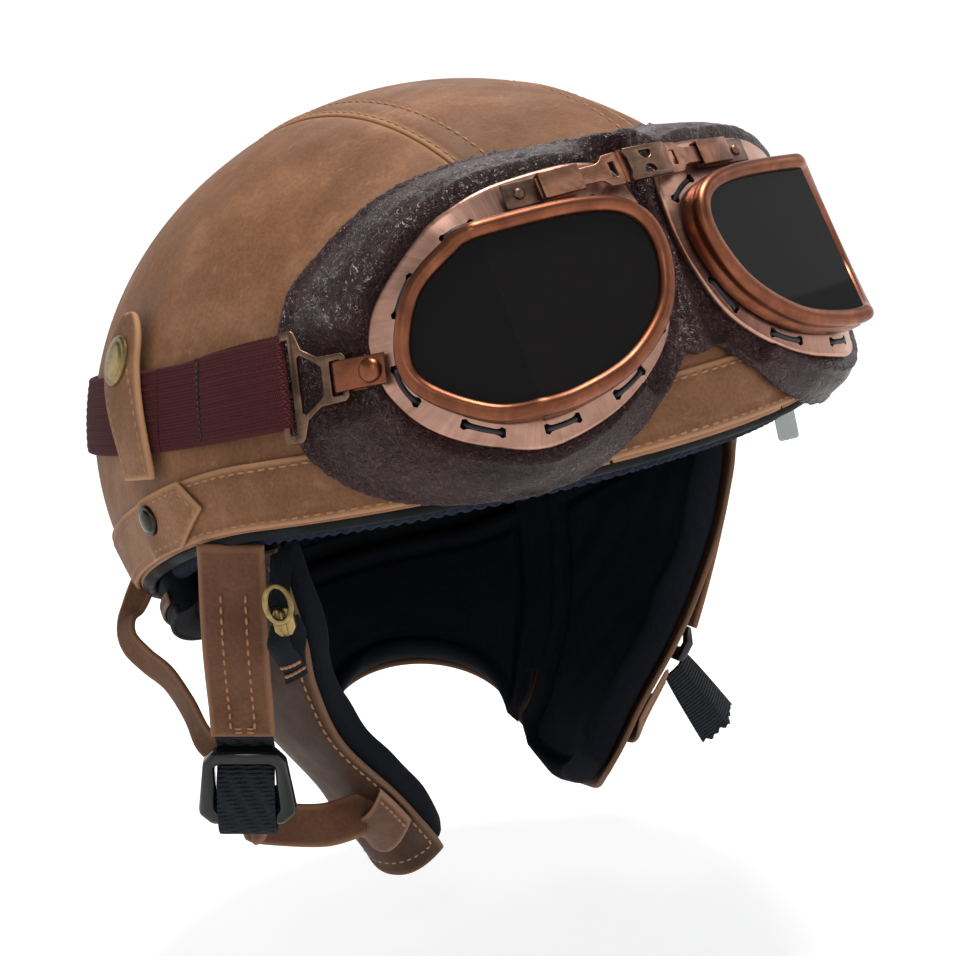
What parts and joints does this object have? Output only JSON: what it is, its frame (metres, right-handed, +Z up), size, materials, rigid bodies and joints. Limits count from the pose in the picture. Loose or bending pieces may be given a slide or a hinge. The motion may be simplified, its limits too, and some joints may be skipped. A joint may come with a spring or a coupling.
{
  "type": "open face motorcycle helmet",
  "caption": "Leather-covered half helmet with aviator goggles strapped round it, ear flaps, a neck curtain and a chin strap that hangs open.",
  "frame": {"origin": "centre of the head opening, on the plane of the rim's front half at the wearer's brow", "axes": "+Z up towards the crown, -Y forwards where the goggles are, +X to the wearer's left"},
  "size_m": [0.236, 0.2795, 0.2589],
  "materials": {
    "tan_leather": "matt nubuck",
    "mask_leather": "pebbled, satin",
    "copper": "brushed antique copper plating",
    "brass": "antique brass",
    "dark_steel": "burnished",
    "maroon_elastic": "knitted elastic",
    "black_knit": "brushed knit",
    "black_plastic": "glossy",
    "shell_plastic": "moulded",
    "grey_foam": "expanded bead foam",
    "smoke_lens": "smoke, polished"
  },
  "bodies": {
    "helmet": {"cover_panel_right": "tan_leather", "cover_panel_centre": "tan_leather", "cover_panel_left": "tan_leather", "edge_binding": "tan_leather", "rim_band_front": "tan_leather", "rim_band_rear": "tan_leather", "neck_curtain": "tan_leather", "zip_slider": "brass", "band_snap_right": "dark_steel", "band_snap_left": "dark_steel", "goggle_strap": "maroon_elastic", "comfort_liner": "black_knit", "liner_piping": "black_knit", "curtain_padding": "black_knit", "zipper_tape": "black_knit", "crash_shell": "shell_plastic", "impact_liner": "grey_foam"},
    "goggles": {"goggle_mask": "mask_leather", "bridge_link": "copper", "strap_end_right": "maroon_elastic", "lens_front_right": "smoke_lens", "lens_side_right": "smoke_lens", "lens_rim_right": "copper", "eyecup_flange_right": "copper", "flange_lace_right": "black_knit", "bridge_sleeve_right": "copper", "bridge_arm_right": "copper", "strap_plate_right": "copper", "side_loop_right": "copper", "side_rivet_right": "copper", "strap_end_left": "maroon_elastic", "lens_front_left": "smoke_lens", "lens_side_left": "smoke_lens", "lens_rim_left": "copper", "eyecup_flange_left": "copper", "flange_lace_left": "black_knit", "bridge_sleeve_left": "copper", "bridge_arm_left": "copper", "strap_plate_left": "copper", "side_loop_left": "copper", "side_rivet_left": "copper"},
    "flap_right": {"ear_flap_right": "tan_leather", "flap_padding_right": "black_knit", "flap_keeper_right": "tan_leather", "chin_sleeve_right": "tan_leather", "chin_webbing_right": "black_knit", "chin_buckle_right": "black_plastic", "rear_strap_right": "tan_leather"},
    "tab_right": {"strap_tab_right": "tan_leather", "tab_snap_cap_right": "brass"},
    "flap_left": {"ear_flap_left": "tan_leather", "flap_padding_left": "black_knit", "flap_keeper_left": "tan_leather", "chin_sleeve_left": "tan_leather", "chin_webbing_left": "black_knit", "chin_buckle_left": "black_plastic", "rear_strap_left": "tan_leather"},
    "tab_left": {"strap_tab_left": "tan_leather", "tab_snap_cap_left": "brass"},
    "pull_ring": {"zip_pull_ring": "brass"}
  },
  "joints": [
    {"name": "goggles_lower", "type": "hinge", "parent": "helmet", "child": "goggles", "pos_m": [0, -0.0341, 0.0113], "axis": [1, 0, 0], "range_deg": [0, 50]},
    {"name": "flap_right_swing", "type": "hinge", "parent": "helmet", "child": "flap_right", "pos_m": [-0.103, 0, -0.009], "axis": [0, 0.973, -0.231], "range_deg": [0, 60]},
    {"name": "flap_left_swing", "type": "hinge", "parent": "helmet", "child": "flap_left", "pos_m": [0.103, 0, -0.009], "axis": [0, -0.973, 0.231], "range_deg": [0, 60]},
    {"name": "tab_right_open", "type": "hinge", "parent": "helmet", "child": "tab_right", "pos_m": [-0.11662, -0.00847, 0.01679], "axis": [0.0568, -0.9984, 0], "range_deg": [0, 110]},
    {"name": "tab_left_open", "type": "hinge", "parent": "helmet", "child": "tab_left", "pos_m": [0.11662, -0.00847, 0.01679], "axis": [0.0568, 0.9984, 0], "range_deg": [0, 110]},
    {"name": "pull_ring_swing", "type": "hinge", "parent": "helmet", "child": "pull_ring", "pos_m": [-0.103, -0.0526, -0.025], "axis": [0.8336, -0.5524, 0], "range_deg": [0, 80]}
  ]
}
